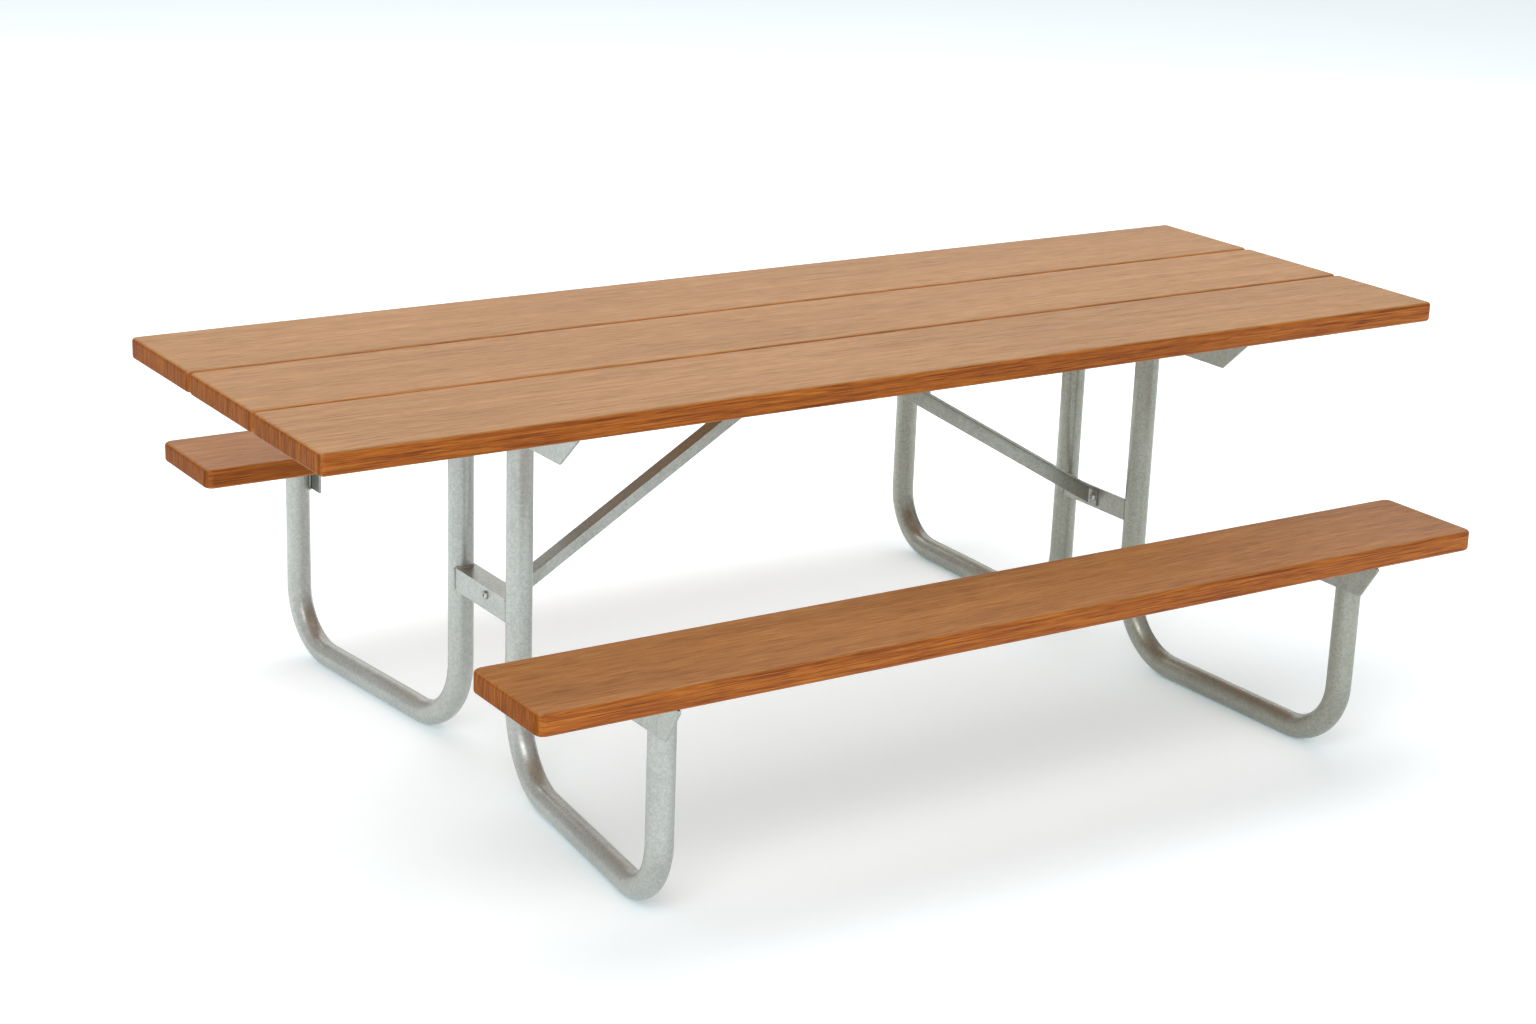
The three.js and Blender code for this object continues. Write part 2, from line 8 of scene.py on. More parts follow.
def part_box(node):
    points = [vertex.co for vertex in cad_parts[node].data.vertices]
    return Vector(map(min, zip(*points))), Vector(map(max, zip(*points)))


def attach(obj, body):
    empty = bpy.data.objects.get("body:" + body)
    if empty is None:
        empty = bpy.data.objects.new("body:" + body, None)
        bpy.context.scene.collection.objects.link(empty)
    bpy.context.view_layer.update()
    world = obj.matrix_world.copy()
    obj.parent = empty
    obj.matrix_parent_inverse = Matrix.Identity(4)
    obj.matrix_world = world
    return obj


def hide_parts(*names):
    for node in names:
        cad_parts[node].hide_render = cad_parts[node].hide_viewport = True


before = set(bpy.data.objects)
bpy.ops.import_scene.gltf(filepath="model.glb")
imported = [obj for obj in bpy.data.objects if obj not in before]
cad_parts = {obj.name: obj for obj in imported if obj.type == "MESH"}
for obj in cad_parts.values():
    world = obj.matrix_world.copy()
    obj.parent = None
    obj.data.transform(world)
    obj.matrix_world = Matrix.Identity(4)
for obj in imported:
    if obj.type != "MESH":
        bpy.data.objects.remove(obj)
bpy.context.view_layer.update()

# The looks of a walk-through picnic table: stained planks on two galvanised pipe end frames.
# Metres, +Z up, in the frame's own place. Every piece rides on the one body, and all but the welds
# replace a CAD node.

BODY = "root"
MM = 0.001

SIDES = {"left": -1, "right": 1}
ROWS = {"front": -1, "rear": 1}


def srgb(red, green, blue):
    """A colour given in the usual 0 to 255 screen values."""
    def linear(value):
        share = value / 255
        return share / 12.92 if share <= 0.04045 else ((share + 0.055) / 1.055) ** 2.4
    return (linear(red), linear(green), linear(blue), 1.0)


def grey(level):
    return (level, level, level, 1.0)


# Bent pipes. SHORT_LEG_DROP is how far the short leg stops below the top of its bench angle.
PIPE_RADIUS = 24.1 * MM
PIPE_BORE_RADIUS = 20.4 * MM
INNER_BEND_RADIUS = 145 * MM
OUTER_BEND_RADIUS = 120 * MM
PIPE_AROUND = 48
PIPE_BEND_STEPS = 24
INNER_LEG_X = {"left": -705 * MM, "right": 733 * MM}
INNER_LEG_Y = 115 * MM
BENCH_LEG_X = {"left": -766 * MM, "right": 747 * MM}
BENCH_LEG_Y = 721 * MM
SHORT_LEG_DROP = 5.3 * MM

# Planks.
PLANK_EDGE_RADIUS = 7 * MM
PLANK_EDGE_STEPS = 8
PLANK_CORNER_STEPS = 12
TOP_CORNER_RADIUS = 11 * MM
BENCH_CORNER_RADIUS = 18 * MM
TOP_SEED = 1
BENCH_SEED = 5

# Rolled edges on angles, braces and fasteners. Angles are in degrees.
ANGLE_BEVEL = 1.6 * MM
FASTENER_BEVEL = 0.5 * MM
BEVEL_SEGMENTS = 3
BEVEL_ANGLE = 35
FLAT_ANGLE = 1
MERGE_DISTANCE = 0.001 * MM
ANGLE_NAMES = ("top_angle", "bench_angle", "crosspiece", "brace_left", "brace_right", "centre_cleat")
FASTENER_WORDS = ("screw", "bolt", "nut")

# Weld beads.
WELD_RADIUS = 2.6 * MM
WELD_PITCH = 3.2 * MM
WELD_AROUND = 10
WELD_RIPPLE = 0.16
WELD_WANDER = 0.12
WELD_WANDER_SCALE = 150
WELD_END_SHARE = 0.45
UPRIGHT_LIMIT = 0.8
COLLAR_SWEEP = 150
COLLAR_STEPS = 40
PLATE_WELD_SPREAD = 0.47
PLATE_WELD_FOOT_MARGIN = 3 * MM
PLATE_WELD_TOP_MARGIN = 6 * MM
FOOT_WELD_LENGTH = 26 * MM
FLANGE_THICKNESS = 5 * MM
CROSSPIECE_OFFSET = 20 * MM
CROSSPIECE_WELD_SINK = 0.3
CROSSPIECE_WELD_MARGIN = 1 * MM
LEDGE_WELD_FROM = -50
LEDGE_WELD_TO = 38
LEDGE_WELD_STEPS = 16

# Wood. Each grain pattern is (scale along X, Y and Z), detail, roughness, distortion.
GRAIN_PATTERNS = {
    "drift": ((0.9, 5.0, 7.0), 3.0, 0.55, 0.5),
    "figure": ((2.2, 48.0, 60.0), 4.0, 0.6, 0.9),
    "fibre": ((14.0, 420.0, 480.0), 4.0, 0.62, 0.3),
    "pores": ((34.0, 760.0, 900.0), 2.0, 0.5, 0.0),
    "waves": ((5.0, 30.0, 230.0), 5.0, 0.62, 1.1),
    "sawn": ((60.0, 210.0, 16.0), 5.0, 0.68, 0.4),
}
SEED_STEP = (3.7, 1.3, 2.1)
FACE_STOPS = (0.33, 0.43, 0.51, 0.60, 0.71)
# The top and the benches are the same wood; the top's lighter, paler tones are painted sheen and painted
# light on the top.
TOP_TONES = (
    srgb(134, 91, 47),
    srgb(151, 107, 60),
    srgb(165, 119, 70),
    srgb(175, 129, 79),
    srgb(186, 141, 91),
)
BENCH_TONES = (
    srgb(114, 68, 28),
    srgb(138, 88, 41),
    srgb(156, 102, 51),
    srgb(169, 115, 61),
    srgb(182, 129, 73),
)
EDGE_STOPS = (0.36, 0.45, 0.53, 0.66)
EDGE_TONES = (srgb(108, 52, 11), srgb(142, 74, 18), srgb(170, 95, 25), srgb(193, 120, 41))
END_STOPS = (0.36, 0.50, 0.64)
END_TONES = (srgb(116, 60, 18), srgb(139, 76, 23), srgb(160, 95, 36))
DRIFT_STOPS = (0.36, 0.64)
DRIFT_TONES = ((0.93, 0.91, 0.88, 1.0), (1.04, 1.03, 1.02, 1.0))
DRIFT_SHARE = 0.9
PORE_STOPS = (0.34, 0.46)
PORE_TONES = ((0.66, 0.58, 0.50, 1.0), grey(1.0))
PORE_SHARE = 0.6
WOOD_ROUGHNESS_STOPS = (0.35, 0.65)
WOOD_ROUGHNESS = (grey(0.52), grey(0.42))
WOOD_SHEEN = 0.22
END_SHEEN_LOSS = 0.18
WOOD_BUMP = (0.2, 0.0007)
END_FACING = (0.55, 0.85)
SIDE_FACING = (0.5, 0.85)
FIGURE_WEIGHT, FACE_FIBRE_WEIGHT = 0.36, 0.64
WAVES_WEIGHT, EDGE_FIBRE_WEIGHT = 0.68, 0.32
RELIEF_PORE_WEIGHT = 0.5

# Zinc: light tone, dark tone, roughness, metallic, speckle scale. The right frame's copies are darker, a
# painted shade standing in for the weaker light on that side, and greener.
ZINC = {
    "pipe_zinc_left": (srgb(189, 192, 187), srgb(168, 171, 167), 0.34, 0.68, 330.0),
    "pipe_zinc_right": (srgb(163, 164, 153), srgb(143, 144, 134), 0.34, 0.68, 330.0),
    "angle_zinc_left": (srgb(181, 184, 179), srgb(159, 162, 157), 0.34, 0.8, 330.0),
    "angle_zinc_right": (srgb(165, 165, 156), srgb(144, 144, 135), 0.34, 0.8, 330.0),
    "fastener_zinc": (srgb(204, 206, 204), srgb(176, 178, 176), 0.30, 0.95, 600.0),
}
CLOUD_STRETCH = (1.0, 0.55, 0.4)
CLOUD_NOISE = (15.0, 2.0, 0.5, 0.3)
SPECK_DETAIL = 3.0
SPECK_ROUGHNESS = 0.7
STREAK_SCALE = (150.0, 150.0, 5.0)
STREAK_NOISE = (1.0, 3.0, 0.6)
CRYSTAL_SHARE = 0.6
SPECK_WEIGHT, CRYSTAL_WEIGHT, CLOUD_WEIGHT, STREAK_WEIGHT = 0.6, 0.12, 0.2, 0.14
ZINC_STOPS = (0.42, 0.62)
SHINE_STOPS = (0.38, 0.66)
SHINE_ROUGHER, SHINE_SMOOTHER = 0.06, 0.05
ZINC_BUMP = (0.06, 0.0003)

# Stage.
FLOOR_CELLS = 8
FLOOR_SIZE = 30
FLOOR_NOISE = (0.7, 2.0, 0.5)
FLOOR_STOPS = (0.3, 0.7)
FLOOR_TONES = (srgb(250, 250, 250), srgb(252, 252, 252))
FLOOR_ROUGHNESS = 0.9
FLOOR_SHEEN = 0.1
# The glow is painted light: it lifts the table's shadow on the floor, and its cyan tint offsets the warm
# light bounced from the wood.
FLOOR_GLOW = (0.65, 0.9, 1.0, 1.0)
FLOOR_GLOW_STRENGTH = 0.26

# Light: name, place, what it faces, size, power.
SOFTBOXES = (
    ("key", (-3.4, -3.6, 4.2), (0, 0, 0.4), (3.2, 3.2), 100),
    ("top", (1.0, 3.0, 6.5), (0.5, 1.5, 0.0), (9.0, 7.0), 370),
    ("back", (4.2, 6.6, 2.9), (0.3, 0, 0.7), (9.0, 2.6), 88),
)
BRIGHT_SIDE = Vector((-0.75, -0.5, 0.35)).normalized()
BRIGHT_SIDE_SPAN = (-0.9, 0.9)
SURROUNDINGS_STRENGTH = (0.24, 0.84)

# Camera. Angles are in degrees, the lens and the sensor in millimetres.
CAMERA_TARGET = Vector((-0.1013, 0.0, 0.4077))
CAMERA_AZIMUTH = 33.4
CAMERA_ELEVATION = 17.68
CAMERA_ROLL = 2.06
CAMERA_DISTANCE = 5.4337
CAMERA_LENS = 65.83
CAMERA_SENSOR = 36.0


# ---------------------------------------------------------------- pieces

def add_mesh(name, verts, faces):
    mesh = bpy.data.meshes.new(name)
    mesh.from_pydata([tuple(v) for v in verts], [], faces)
    mesh.validate()
    build = bmesh.new()
    build.from_mesh(mesh)
    bmesh.ops.recalc_face_normals(build, faces=build.faces)
    build.to_mesh(mesh)
    build.free()
    piece = bpy.data.objects.new(name, mesh)
    bpy.context.scene.collection.objects.link(piece)
    return piece


def shade_smooth(piece):
    for face in piece.data.polygons:
        face.use_smooth = True


def weight_normals(piece):
    shade_smooth(piece)
    modifier = piece.modifiers.new("weighted_normals", "WEIGHTED_NORMAL")
    modifier.keep_sharp = True


def finish_piece(piece, material, slot, *nodes):
    piece.data.materials.clear()
    piece.data.materials.append(material)
    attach(piece, BODY)
    if nodes:
        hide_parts(*nodes)


def bevelled_copy(node, width, material, slot):
    """A copy of a CAD solid with rolled edges, standing in its place."""
    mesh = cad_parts[node].data.copy()
    build = bmesh.new()
    build.from_mesh(mesh)
    bmesh.ops.remove_doubles(build, verts=build.verts, dist=MERGE_DISTANCE)
    flat = math.radians(FLAT_ANGLE)
    bmesh.ops.dissolve_limit(build, angle_limit=flat, verts=build.verts, edges=build.edges)
    build.to_mesh(mesh)
    build.free()
    piece = bpy.data.objects.new(node + "_finish", mesh)
    bpy.context.scene.collection.objects.link(piece)
    modifier = piece.modifiers.new("edges", "BEVEL")
    modifier.width = width
    modifier.segments = BEVEL_SEGMENTS
    modifier.limit_method = "ANGLE"
    modifier.angle_limit = math.radians(BEVEL_ANGLE)
    weight_normals(piece)
    finish_piece(piece, material, slot, node)


def rounded_outline(half_x, half_y, radius):
    points = []
    corners = [(1, 1, 0), (-1, 1, 90), (-1, -1, 180), (1, -1, 270)]
    for sign_x, sign_y, start in corners:
        for step in range(PLANK_CORNER_STEPS + 1):
            turn = math.radians(start + 90 * step / PLANK_CORNER_STEPS)
            x = sign_x * (half_x - radius) + radius * math.cos(turn)
            y = sign_y * (half_y - radius) + radius * math.sin(turn)
            points.append((x, y))
    return points


def bridge(first, second, count):
    """Faces between two rings of count points, from their first indices."""
    return [(first + i, first + (i + 1) % count, second + (i + 1) % count, second + i) for i in range(count)]


def make_plank(node, corner_radius, material, slot):
    """A board with rounded corners and quarter-round edges, filling its node's box."""
    low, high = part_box(node)
    centre = (low + high) / 2
    half = (high - low) / 2
    levels = []
    for sign in (-1, 1):
        for step in range(PLANK_EDGE_STEPS + 1):
            share = step if sign > 0 else PLANK_EDGE_STEPS - step
            turn = math.radians(90 * share / PLANK_EDGE_STEPS)
            inset = PLANK_EDGE_RADIUS * (1 - math.cos(turn))
            height = sign * (half.z - PLANK_EDGE_RADIUS + PLANK_EDGE_RADIUS * math.sin(turn))
            levels.append((inset, height))
    verts = []
    for inset, height in levels:
        outline = rounded_outline(half.x - inset, half.y - inset, corner_radius - inset)
        verts += [(x, y, height) for x, y in outline]
    count = 4 * (PLANK_CORNER_STEPS + 1)
    faces = [tuple(reversed(range(count)))]
    for level in range(len(levels) - 1):
        faces += bridge(level * count, (level + 1) * count, count)
    faces.append(tuple(range((len(levels) - 1) * count, len(levels) * count)))
    piece = add_mesh(node + "_board", verts, faces)
    piece.location = centre
    weight_normals(piece)
    finish_piece(piece, material, slot, node)


def ring(centre, side, up, radius, around):
    points = []
    for i in range(around):
        turn = 2 * math.pi * i / around
        points.append(centre + side * (radius * math.cos(turn)) + up * (radius * math.sin(turn)))
    return points


def bend(foot, out, up, radius, first, second):
    """Points and directions round a quarter bend, from the spoke first to the spoke second."""
    centre = foot + (out + up) * radius
    stations = []
    for step in range(PIPE_BEND_STEPS + 1):
        turn = math.pi / 2 * step / PIPE_BEND_STEPS
        spoke = first * math.cos(turn) + second * math.sin(turn)
        heading = second * math.cos(turn) - first * math.sin(turn)
        stations.append((centre + spoke * radius, heading))
    return stations


def pipe_stations(tall_foot, short_foot, tall_top, short_top):
    """The pipe's centre line, from the top of the tall leg to the top of the short one."""
    up = Vector((0, 0, 1))
    out = (short_foot - tall_foot).normalized()
    stations = [(Vector((tall_foot.x, tall_foot.y, tall_top)), -up)]
    stations += bend(tall_foot, out, up, INNER_BEND_RADIUS, -out, -up)
    stations += bend(short_foot, -out, up, OUTER_BEND_RADIUS, -up, out)
    stations.append((Vector((short_foot.x, short_foot.y, short_top)), up))
    return stations, out.cross(up)


def make_pipe(side, row, material):
    node = f"frame_pipe_{side}_{row}"
    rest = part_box(node)[0].z + PIPE_RADIUS
    tall_foot = Vector((INNER_LEG_X[side], ROWS[row] * INNER_LEG_Y, rest))
    short_foot = Vector((BENCH_LEG_X[side], ROWS[row] * BENCH_LEG_Y, rest))
    tall_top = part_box(node)[1].z
    short_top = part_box(f"bench_angle_{side}_{row}")[1].z - SHORT_LEG_DROP
    stations, across = pipe_stations(tall_foot, short_foot, tall_top, short_top)
    verts = []
    for radius in (PIPE_RADIUS, PIPE_BORE_RADIUS):
        for point, heading in stations:
            verts += ring(point, across, heading.cross(across), radius, PIPE_AROUND)
    skin = len(stations) * PIPE_AROUND
    faces = []
    for start in (0, skin):
        for i in range(len(stations) - 1):
            first = start + i * PIPE_AROUND
            faces += bridge(first, first + PIPE_AROUND, PIPE_AROUND)
    last = skin - PIPE_AROUND
    faces += bridge(0, skin, PIPE_AROUND)
    faces += bridge(last, skin + last, PIPE_AROUND)
    piece = add_mesh(node + "_tube", verts, faces)
    weight_normals(piece)
    finish_piece(piece, material, "pipe_steel", node)


def make_weld(name, path, material):
    """A rippled bead along a path of points."""
    points = []
    for start, end in zip(path, path[1:]):
        steps = max(1, round((end - start).length / (WELD_PITCH / 2)))
        points += [start.lerp(end, i / steps) for i in range(steps)]
    points.append(path[-1])
    verts = []
    for i, point in enumerate(points):
        heading = (points[min(i + 1, len(points) - 1)] - points[max(i - 1, 0)]).normalized()
        helper = Vector((0, 0, 1)) if abs(heading.z) < UPRIGHT_LIMIT else Vector((1, 0, 0))
        side = heading.cross(helper).normalized()
        ripple = WELD_RIPPLE * (1 if i % 2 else -1)
        swell = 1 + ripple + WELD_WANDER * noise.noise(point * WELD_WANDER_SCALE)
        if i in (0, len(points) - 1):
            swell *= WELD_END_SHARE
        verts += ring(point, side, side.cross(heading), WELD_RADIUS * swell, WELD_AROUND)
    faces = [tuple(range(WELD_AROUND))]
    for i in range(len(points) - 1):
        faces += bridge(i * WELD_AROUND, (i + 1) * WELD_AROUND, WELD_AROUND)
    faces.append(tuple(range((len(points) - 1) * WELD_AROUND, len(points) * WELD_AROUND)))
    piece = add_mesh(name, verts, faces)
    shade_smooth(piece)
    finish_piece(piece, material, "angle_steel")


def arc_points(centre, radius, start, end, steps):
    points = []
    for i in range(steps + 1):
        turn = math.radians(start + (end - start) * i / steps)
        points.append(centre + Vector((radius * math.cos(turn), radius * math.sin(turn), 0)))
    return points


# ---------------------------------------------------------------- materials

class Shader:
    """A material and short ways to add nodes to it."""

    def __init__(self, name):
        self.material = bpy.data.materials.new(name)
        self.material.use_nodes = True
        self.tree = self.material.node_tree
        self.surface = self.tree.nodes["Principled BSDF"]

    def node(self, kind, settings=None, **sockets):
        made = self.tree.nodes.new("ShaderNode" + kind)
        for key, value in (settings or {}).items():
            setattr(made, key, value)
        for key, value in sockets.items():
            self.feed(made.inputs[key.replace("_", " ")], value)
        return made

    def feed(self, socket, value):
        if isinstance(value, bpy.types.NodeSocket):
            self.tree.links.new(value, socket)
        else:
            socket.default_value = value

    def math(self, operation, first, second=0.0):
        made = self.node("Math", {"operation": operation})
        self.feed(made.inputs[0], first)
        self.feed(made.inputs[1], second)
        return made.outputs[0]

    def weigh(self, *parts):
        """The sum of (value, weight) parts."""
        products = [self.math("MULTIPLY", value, weight) for value, weight in parts]
        total = products[0]
        for product in products[1:]:
            total = self.math("ADD", total, product)
        return total

    def mix(self, share, first, second, blend="MIX"):
        made = self.node("Mix", {"data_type": "RGBA", "blend_type": blend, "clamp_factor": True})
        colours = [socket for socket in made.inputs if socket.type == "RGBA"]
        self.feed(made.inputs[0], share)
        self.feed(colours[0], first)
        self.feed(colours[1], second)
        return next(socket for socket in made.outputs if socket.type == "RGBA")

    def place(self, coordinates, scale, offset=(0, 0, 0)):
        return self.node("Mapping", Vector=coordinates, Scale=scale, Location=offset).outputs[0]

    def noise(self, vector, scale=1.0, detail=4.0, roughness=0.5, distortion=0.0):
        settings = {"Scale": scale, "Detail": detail, "Roughness": roughness, "Distortion": distortion}
        return self.node("TexNoise", Vector=vector, **settings).outputs[0]

    def ramp(self, value, stops, colours, smooth=False):
        made = self.node("ValToRGB", Fac=value)
        made.color_ramp.interpolation = "EASE" if smooth else "LINEAR"
        elements = made.color_ramp.elements
        while len(elements) < len(stops):
            elements.new(0.5)
        for element, position, colour in zip(elements, stops, colours):
            element.position = position
            element.color = colour
        return made.outputs[0]

    def spread(self, value, low, high):
        made = self.node("MapRange", {"clamp": True}, Value=value)
        made.inputs["From Min"].default_value = low
        made.inputs["From Max"].default_value = high
        return made.outputs[0]

    def bump(self, height, strength, distance):
        made = self.node("Bump", Height=height)
        made.inputs["Strength"].default_value = strength
        made.inputs["Distance"].default_value = distance
        self.tree.links.new(made.outputs[0], self.surface.inputs["Normal"])

    def finish(self, **sockets):
        for key, value in sockets.items():
            self.feed(self.surface.inputs[key.replace("_", " ")], value)
        return self.material


def wood_material(name, seed, face_tones):
    """Stained plank: long grain on the faces, wavy lines on the long edges, upright streaks on the ends."""
    shader = Shader(name)
    coordinates = shader.node("TexCoord")
    local = coordinates.outputs["Object"]
    normal = shader.node("SeparateXYZ", Vector=coordinates.outputs["Normal"])
    end_share = shader.spread(shader.math("ABSOLUTE", normal.outputs["X"]), *END_FACING)
    side_share = shader.spread(shader.math("ABSOLUTE", normal.outputs["Y"]), *SIDE_FACING)
    offset = tuple(seed * step for step in SEED_STEP)
    grain = {}
    for pattern, (scale, detail, roughness, distortion) in GRAIN_PATTERNS.items():
        placed = shader.place(local, scale, offset)
        grain[pattern] = shader.noise(placed, 1.0, detail, roughness, distortion)

    fibre = grain["fibre"]
    face_grain = shader.weigh((grain["figure"], FIGURE_WEIGHT), (fibre, FACE_FIBRE_WEIGHT))
    edge_grain = shader.weigh((grain["waves"], WAVES_WEIGHT), (fibre, EDGE_FIBRE_WEIGHT))
    face = shader.ramp(face_grain, FACE_STOPS, face_tones)
    edge = shader.ramp(edge_grain, EDGE_STOPS, EDGE_TONES)
    end = shader.ramp(grain["sawn"], END_STOPS, END_TONES)
    colour = shader.mix(side_share, face, edge)
    colour = shader.mix(end_share, colour, end)
    drift = shader.ramp(grain["drift"], DRIFT_STOPS, DRIFT_TONES, True)
    colour = shader.mix(DRIFT_SHARE, colour, drift, "MULTIPLY")
    pores = shader.ramp(grain["pores"], PORE_STOPS, PORE_TONES)
    colour = shader.mix(PORE_SHARE, colour, pores, "MULTIPLY")
    relief = shader.weigh((fibre, 1.0), (grain["pores"], RELIEF_PORE_WEIGHT))
    shader.bump(relief, *WOOD_BUMP)
    roughness = shader.ramp(fibre, WOOD_ROUGHNESS_STOPS, WOOD_ROUGHNESS)
    sheen = shader.math("SUBTRACT", WOOD_SHEEN, shader.math("MULTIPLY", end_share, END_SHEEN_LOSS))
    return shader.finish(Base_Color=colour, Roughness=roughness, Specular_IOR_Level=sheen)


def zinc_material(name, light, dark, roughness, metallic, grain):
    """Hot-dip galvanised steel: fine speckle, faint streaks and cloudy patches."""
    shader = Shader(name)
    local = shader.node("TexCoord").outputs["Object"]
    clouds = shader.noise(shader.place(local, CLOUD_STRETCH), *CLOUD_NOISE)
    specks = shader.noise(local, grain, SPECK_DETAIL, SPECK_ROUGHNESS)
    streaks = shader.noise(shader.place(local, STREAK_SCALE), *STREAK_NOISE)
    crystals = shader.node("TexVoronoi", Vector=local, Scale=grain * CRYSTAL_SHARE)
    facets = shader.node("SeparateColor", Color=crystals.outputs["Color"]).outputs[0]
    tone = shader.weigh(
        (specks, SPECK_WEIGHT),
        (facets, CRYSTAL_WEIGHT),
        (clouds, CLOUD_WEIGHT),
        (streaks, STREAK_WEIGHT),
    )
    colour = shader.ramp(tone, ZINC_STOPS, (dark, light))
    shine_tones = (grey(roughness + SHINE_ROUGHER), grey(roughness - SHINE_SMOOTHER))
    shine = shader.ramp(tone, SHINE_STOPS, shine_tones)
    shader.bump(specks, *ZINC_BUMP)
    return shader.finish(Base_Color=colour, Roughness=shine, Metallic=metallic)


def floor_material():
    """Pale floor with a slight glow, which keeps the table's shadow faint."""
    shader = Shader("pale_floor")
    local = shader.node("TexCoord").outputs["Object"]
    colour = shader.ramp(shader.noise(local, *FLOOR_NOISE), FLOOR_STOPS, FLOOR_TONES)
    return shader.finish(
        Base_Color=colour,
        Roughness=FLOOR_ROUGHNESS,
        Specular_IOR_Level=FLOOR_SHEEN,
        Emission_Color=FLOOR_GLOW,
        Emission_Strength=FLOOR_GLOW_STRENGTH,
    )


# ---------------------------------------------------------------- the table

def build_planks():
    tops = ["top_plank_front", "top_plank_middle", "top_plank_rear"]
    benches = ["bench_plank_front", "bench_plank_rear"]
    # The top planks' lighter, paler tones hold painted sheen and painted light.
    for i, node in enumerate(tops):
        material = wood_material(node + "_wood", TOP_SEED + i, TOP_TONES)
        make_plank(node, TOP_CORNER_RADIUS, material, "top_wood")
    for i, node in enumerate(benches):
        material = wood_material(node + "_wood", BENCH_SEED + i, BENCH_TONES)
        make_plank(node, BENCH_CORNER_RADIUS, material, "bench_wood")


def build_frames(zinc):
    # Pipes and angles take their side's zinc; the right side's darker copy is painted shade.
    for side in SIDES:
        for row in ROWS:
            make_pipe(side, row, zinc[f"pipe_zinc_{side}"])
    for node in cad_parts:
        if node.startswith(ANGLE_NAMES):
            side = "right" if "right" in node else "left"
            bevelled_copy(node, ANGLE_BEVEL, zinc[f"angle_zinc_{side}"], "angle_steel")
        elif any(word in node for word in FASTENER_WORDS):
            bevelled_copy(node, FASTENER_BEVEL, zinc["fastener_zinc"], "fastener_steel")


def build_leg_welds(side, row, material):
    """Beads that join each leg of a pipe to the angle above it: a collar, two uprights and a foot."""
    row_sign = ROWS[row]
    legs = [
        ("tall", INNER_LEG_X[side], row_sign * INNER_LEG_Y, f"top_angle_{side}", SIDES[side]),
        ("short", BENCH_LEG_X[side], row_sign * BENCH_LEG_Y, f"bench_angle_{side}_{row}", row_sign),
    ]
    for name, leg_x, leg_y, angle, hand in legs:
        low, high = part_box(angle)
        shelf = high.z - FLANGE_THICKNESS
        facing = 0 if hand < 0 else 180
        centre = Vector((leg_x, leg_y, shelf - WELD_RADIUS / 2))
        collar = arc_points(centre, PIPE_RADIUS, facing - COLLAR_SWEEP, facing + COLLAR_SWEEP, COLLAR_STEPS)
        make_weld(f"weld_collar_{name}_{side}_{row}", collar, material)
        inner_face = (low.x if hand < 0 else high.x) - hand * FLANGE_THICKNESS
        x = inner_face - hand * WELD_RADIUS
        for tag, offset in (("near", -1), ("far", 1)):
            y = leg_y + offset * PLATE_WELD_SPREAD * PIPE_RADIUS
            foot = Vector((x, y, low.z + PLATE_WELD_FOOT_MARGIN))
            top = Vector((x, y, shelf - PLATE_WELD_TOP_MARGIN))
            make_weld(f"weld_plate_{name}_{side}_{row}_{tag}", [foot, top], material)
        half = FOOT_WELD_LENGTH / 2
        x = inner_face - hand * WELD_RADIUS / 2
        foot = [Vector((x, leg_y - half, low.z)), Vector((x, leg_y + half, low.z))]
        make_weld(f"weld_foot_{name}_{side}_{row}", foot, material)


def build_crosspiece_welds(side, row, material):
    """Beads that join one end of a crosspiece to its pipe: an upright one and one round the ledge."""
    low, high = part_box(f"crosspiece_{side}")
    leg_y = ROWS[row] * INNER_LEG_Y
    reach = math.sqrt(PIPE_RADIUS ** 2 - CROSSPIECE_OFFSET ** 2)
    sunk = WELD_RADIUS * CROSSPIECE_WELD_SINK
    y = leg_y - ROWS[row] * (reach + sunk)
    foot = Vector((low.x, y, low.z + CROSSPIECE_WELD_MARGIN))
    top = Vector((low.x, y, high.z - CROSSPIECE_WELD_MARGIN))
    make_weld(f"weld_crosspiece_{side}_{row}", [foot, top], material)
    level = high.z if side == "left" else low.z
    middle = -90 * ROWS[row]
    centre = Vector((INNER_LEG_X[side], leg_y, level))
    start = middle + LEDGE_WELD_FROM
    end = middle + LEDGE_WELD_TO
    arc = arc_points(centre, PIPE_RADIUS + sunk, start, end, LEDGE_WELD_STEPS)
    make_weld(f"weld_ledge_{side}_{row}", arc, material)


# ---------------------------------------------------------------- stage, light and camera

def build_stage():
    build = bmesh.new()
    bmesh.ops.create_grid(build, x_segments=FLOOR_CELLS, y_segments=FLOOR_CELLS, size=FLOOR_SIZE)
    mesh = bpy.data.meshes.new("floor")
    build.to_mesh(mesh)
    build.free()
    floor = bpy.data.objects.new("floor", mesh)
    floor.data.materials.append(floor_material())
    bpy.context.scene.collection.objects.link(floor)


def add_softbox(name, location, target, size, power):
    light = bpy.data.lights.new(name, "AREA")
    light.shape = "RECTANGLE"
    light.size, light.size_y = size
    light.energy = power
    lamp = bpy.data.objects.new(name, light)
    lamp.location = location
    lamp.rotation_euler = (Vector(target) - Vector(location)).to_track_quat("-Z", "Y").to_euler()
    bpy.context.scene.collection.objects.link(lamp)


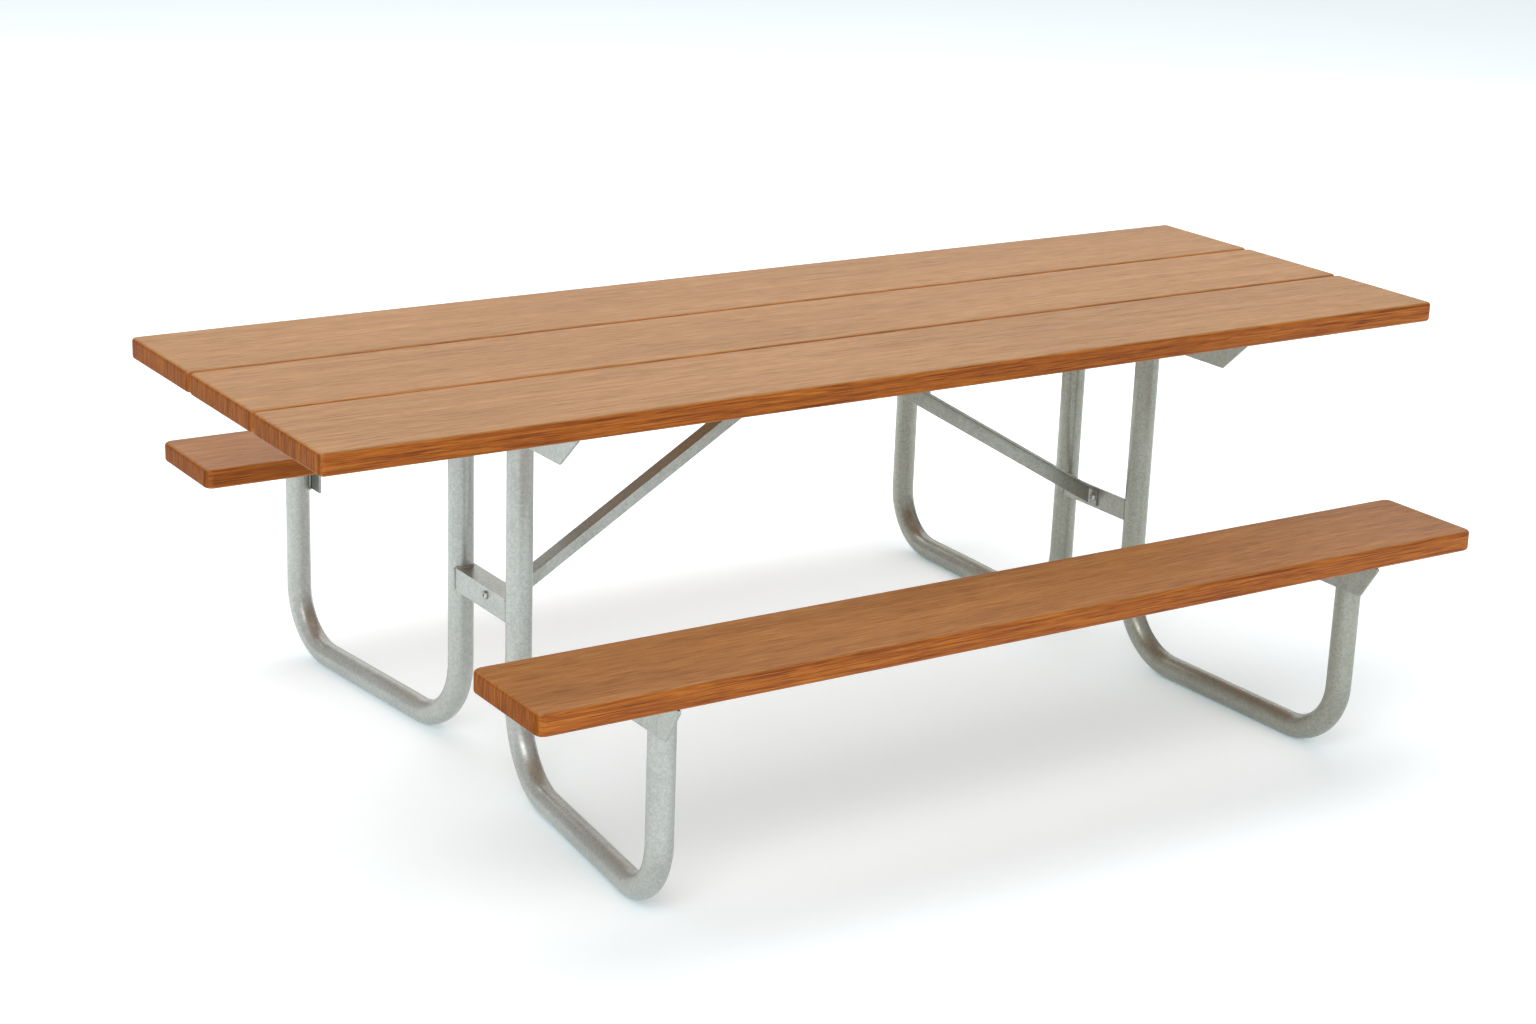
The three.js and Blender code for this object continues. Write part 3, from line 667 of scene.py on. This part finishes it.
def build_light():
    """White surroundings, brighter towards the front left, with large soft lights."""
    world = bpy.data.worlds.new("studio")
    world.use_nodes = True
    tree = world.node_tree
    background = tree.nodes["Background"]
    direction = tree.nodes.new("ShaderNodeTexCoord")
    facing = tree.nodes.new("ShaderNodeVectorMath")
    facing.operation = "DOT_PRODUCT"
    facing.inputs[1].default_value = BRIGHT_SIDE
    shade = tree.nodes.new("ShaderNodeMapRange")
    shade.inputs["From Min"].default_value, shade.inputs["From Max"].default_value = BRIGHT_SIDE_SPAN
    shade.inputs["To Min"].default_value, shade.inputs["To Max"].default_value = SURROUNDINGS_STRENGTH
    tree.links.new(direction.outputs["Generated"], facing.inputs[0])
    tree.links.new(facing.outputs["Value"], shade.inputs["Value"])
    tree.links.new(shade.outputs["Result"], background.inputs["Strength"])
    background.inputs["Color"].default_value = grey(1.0)
    bpy.context.scene.world = world
    bpy.context.scene.view_settings.view_transform = "Standard"
    for softbox in SOFTBOXES:
        add_softbox(*softbox)


def build_camera():
    """A long-lens camera turned round its target, with a slight roll."""
    azimuth = math.radians(CAMERA_AZIMUTH)
    elevation = math.radians(CAMERA_ELEVATION)
    roll = math.radians(CAMERA_ROLL)
    ahead = math.cos(elevation)
    look = Vector((math.sin(azimuth) * ahead, math.cos(azimuth) * ahead, -math.sin(elevation)))
    level = Vector((math.cos(azimuth), -math.sin(azimuth), 0))
    upright = level.cross(look)
    right = level * math.cos(roll) + upright * math.sin(roll)
    top = upright * math.cos(roll) - level * math.sin(roll)
    data = bpy.data.cameras.new("camera")
    data.lens = CAMERA_LENS
    data.sensor_width = CAMERA_SENSOR
    camera = bpy.data.objects.new("camera", data)
    turn = Matrix((right, top, -look)).transposed().to_4x4()
    camera.matrix_world = Matrix.Translation(CAMERA_TARGET - look * CAMERA_DISTANCE) @ turn
    bpy.context.scene.collection.objects.link(camera)
    bpy.context.scene.camera = camera


zinc = {name: zinc_material(name, *values) for name, values in ZINC.items()}
build_planks()
build_frames(zinc)
# The welds take their side's angle zinc, so the right side's beads carry the same painted shade.
for side in SIDES:
    for row in ROWS:
        build_leg_welds(side, row, zinc[f"angle_zinc_{side}"])
        build_crosspiece_welds(side, row, zinc[f"angle_zinc_{side}"])
build_stage()
build_light()
build_camera()
